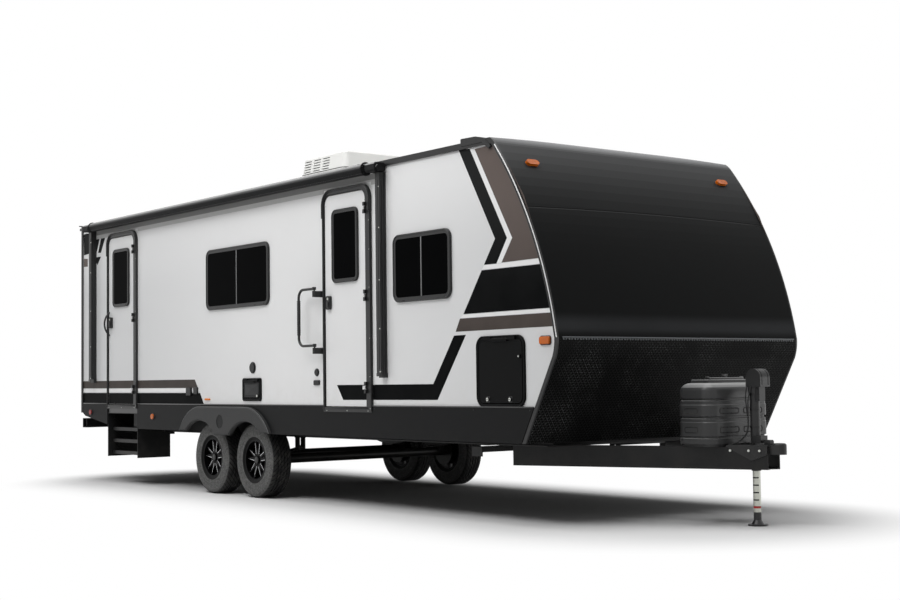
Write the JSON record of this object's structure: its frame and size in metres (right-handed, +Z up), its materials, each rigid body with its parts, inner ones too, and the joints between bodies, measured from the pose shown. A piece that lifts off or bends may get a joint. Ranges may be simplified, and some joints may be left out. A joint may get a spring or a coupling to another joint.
{
  "type": "tandem axle travel caravan",
  "caption": "Towed living caravan with a hollow cabin, hinged entry and baggage doors, fold-out steps, corner legs, tongue jack and tandem wheels.",
  "frame": {"origin": "centre of the footprint, on the ground", "axes": "+X forward to the coupler, +Y to the off side, +Z up; the entry doors are on the -Y side"},
  "size_m": [8.667, 2.6258, 3.14],
  "materials": {
    "body_white": "glossy off-white composite skin",
    "cap_black": "gloss black moulded skin",
    "hatch_black": "gloss black moulded door",
    "roof_membrane": "white roof membrane",
    "tread_plate": "black embossed tread plate",
    "floor_ply": "plywood deck with a dark membrane below",
    "skirt_grey": "satin black sheet",
    "fender_plastic": "moulded dark grey plastic",
    "chassis_black": "black chassis paint on steel",
    "tyre": "tyre rubber",
    "rim_alloy": "machined alloy with black pockets",
    "black_trim": "black extrusion",
    "dark_glass": "deeply tinted glazing",
    "zinc": "galvanised steel",
    "cover_black": "black moulded plastic",
    "handle_black": "black powder coated tube",
    "step_metal": "black powder coated steel",
    "awning_black": "black anodised extrusion",
    "roof_plastic": "white moulded plastic",
    "amber": "amber lens",
    "red": "red lens"
  },
  "bodies": {
    "body": {"a_frame_far": "chassis_black", "a_frame_near": "chassis_black", "amber_lamps": "amber", "awning_arms": "awning_black", "awning_roller": "awning_black", "axles": "chassis_black", "coupler": "chassis_black", "cross_members": "chassis_black", "door_frames": "black_trim", "edge_trim": "black_trim", "fenders": "fender_plastic", "floor": "floor_ply", "front_cap": "cap_black", "front_panel": "tread_plate", "gas_bottle_cover": "cover_black", "hatch_frames": "hatch_black", "leaf_springs": "chassis_black", "rail_far": "chassis_black", "rail_near": "chassis_black", "rear_wall": "body_white", "red_lamps": "red", "roof": "roof_membrane", "roof_units": "roof_plastic", "skirts": "skirt_grey", "stabilizer_mounts": "chassis_black", "step_housing": "chassis_black", "tongue_jack": "zinc", "wall_door_side": "body_white", "wall_fittings": "black_trim", "wall_off_side": "body_white", "window_frames": "black_trim", "window_glass": "dark_glass"},
    "wheel_near_front": {"tyre_near_front": "tyre", "rim_near_front": "rim_alloy"},
    "wheel_near_rear": {"tyre_near_rear": "tyre", "rim_near_rear": "rim_alloy"},
    "wheel_far_front": {"tyre_far_front": "tyre", "rim_far_front": "rim_alloy"},
    "wheel_far_rear": {"tyre_far_rear": "tyre", "rim_far_rear": "rim_alloy"},
    "jack_post": {"jack_post": "zinc"},
    "front_door": {"front_door": "body_white", "front_door_fittings": "black_trim"},
    "rear_door": {"rear_door": "body_white", "rear_door_fittings": "black_trim"},
    "baggage_door_near": {"baggage_door_near": "hatch_black"},
    "baggage_door_far": {"baggage_door_far": "hatch_black"},
    "service_hatch": {"service_hatch": "hatch_black"},
    "grab_handle": {"grab_handle": "handle_black"},
    "stabilizer_near_front": {"stabilizer_near_front": "chassis_black"},
    "stabilizer_near_rear": {"stabilizer_near_rear": "chassis_black"},
    "stabilizer_far_front": {"stabilizer_far_front": "chassis_black"},
    "stabilizer_far_rear": {"stabilizer_far_rear": "chassis_black"},
    "step_link_1": {"step_link_1": "step_metal"},
    "step_tread_1": {"step_tread_1": "step_metal"},
    "step_link_2": {"step_link_2": "step_metal"},
    "step_tread_2": {"step_tread_2": "step_metal"},
    "step_link_3": {"step_link_3": "step_metal"},
    "step_tread_3": {"step_tread_3": "step_metal"}
  },
  "joints": [
    {"name": "wheel_near_front_spin", "type": "hinge", "parent": "body", "child": "wheel_near_front", "pos_m": [-0.659, -1.0675, 0.3315], "axis": [0, 1, 0], "continuous": true},
    {"name": "wheel_near_rear_spin", "type": "hinge", "parent": "body", "child": "wheel_near_rear", "pos_m": [-1.437, -1.0675, 0.3315], "axis": [0, 1, 0], "continuous": true},
    {"name": "wheel_far_front_spin", "type": "hinge", "parent": "body", "child": "wheel_far_front", "pos_m": [-0.659, 1.0675, 0.3315], "axis": [0, 1, 0], "continuous": true},
    {"name": "wheel_far_rear_spin", "type": "hinge", "parent": "body", "child": "wheel_far_rear", "pos_m": [-1.437, 1.0675, 0.3315], "axis": [0, 1, 0], "continuous": true},
    {"name": "jack_extend", "type": "slide", "parent": "body", "child": "jack_post", "axis": [0, 0, 1], "range_m": [0, 0.32]},
    {"name": "front_door_hinge", "type": "hinge", "parent": "body", "child": "front_door", "pos_m": [1.209, -1.249, 1.6], "axis": [0, 0, 1], "range_deg": [0, 150]},
    {"name": "rear_door_hinge", "type": "hinge", "parent": "body", "child": "rear_door", "pos_m": [-2.935, -1.249, 1.6], "axis": [0, 0, 1], "range_deg": [0, 150]},
    {"name": "baggage_door_near_hinge", "type": "hinge", "parent": "body", "child": "baggage_door_near", "pos_m": [2.8495, -1.237, 1.2953], "axis": [-1, 0, 0], "range_deg": [0, 110]},
    {"name": "baggage_door_far_hinge", "type": "hinge", "parent": "body", "child": "baggage_door_far", "pos_m": [2.8495, 1.237, 1.2953], "axis": [1, 0, 0], "range_deg": [0, 110]},
    {"name": "service_hatch_hinge", "type": "hinge", "parent": "body", "child": "service_hatch", "pos_m": [-0.587, -1.237, 1.0312], "axis": [-1, 0, 0], "range_deg": [0, 110]},
    {"name": "grab_handle_swing", "type": "hinge", "parent": "body", "child": "grab_handle", "pos_m": [0.566, -1.303, 1.54], "axis": [0, 0, 1], "range_deg": [0, 175]},
    {"name": "stabilizer_near_front_swing", "type": "hinge", "parent": "body", "child": "stabilizer_near_front", "pos_m": [2.276, -0.42, 0.502], "axis": [1, 0, 0], "range_deg": [0, 52]},
    {"name": "stabilizer_near_rear_swing", "type": "hinge", "parent": "body", "child": "stabilizer_near_rear", "pos_m": [-3.724, -0.42, 0.502], "axis": [1, 0, 0], "range_deg": [0, 52]},
    {"name": "stabilizer_far_front_swing", "type": "hinge", "parent": "body", "child": "stabilizer_far_front", "pos_m": [2.276, 0.42, 0.502], "axis": [-1, 0, 0], "range_deg": [0, 52]},
    {"name": "stabilizer_far_rear_swing", "type": "hinge", "parent": "body", "child": "stabilizer_far_rear", "pos_m": [-3.724, 0.42, 0.502], "axis": [-1, 0, 0], "range_deg": [0, 52]},
    {"name": "step_link_1_swing", "type": "hinge", "parent": "body", "child": "step_link_1", "pos_m": [-3.207, -1.15, 0.68], "axis": [-1, 0, 0], "range_deg": [0, 75.83]},
    {"name": "step_tread_1_swing", "type": "hinge", "parent": "step_link_1", "child": "step_tread_1", "pos_m": [-3.207, -1.00269, 0.56], "axis": [-1, 0, 0], "range_deg": [-75.83, 0]},
    {"name": "step_link_2_swing", "type": "hinge", "parent": "step_tread_1", "child": "step_link_2", "pos_m": [-3.207, -1.15, 0.56], "axis": [-1, 0, 0], "range_deg": [0, 75.83]},
    {"name": "step_tread_2_swing", "type": "hinge", "parent": "step_link_2", "child": "step_tread_2", "pos_m": [-3.207, -1.00269, 0.44], "axis": [-1, 0, 0], "range_deg": [-75.83, 0]},
    {"name": "step_link_3_swing", "type": "hinge", "parent": "step_tread_2", "child": "step_link_3", "pos_m": [-3.207, -1.15, 0.44], "axis": [-1, 0, 0], "range_deg": [0, 75.83]},
    {"name": "step_tread_3_swing", "type": "hinge", "parent": "step_link_3", "child": "step_tread_3", "pos_m": [-3.207, -1.00269, 0.32], "axis": [-1, 0, 0], "range_deg": [-75.83, 0]}
  ],
  "couplings": [
    {"joint": "step_tread_1_swing", "follows": "step_link_1_swing", "ratio": -1},
    {"joint": "step_link_2_swing", "follows": "step_link_1_swing", "ratio": 1},
    {"joint": "step_tread_2_swing", "follows": "step_link_1_swing", "ratio": -1},
    {"joint": "step_link_3_swing", "follows": "step_link_1_swing", "ratio": 1},
    {"joint": "step_tread_3_swing", "follows": "step_link_1_swing", "ratio": -1}
  ]
}
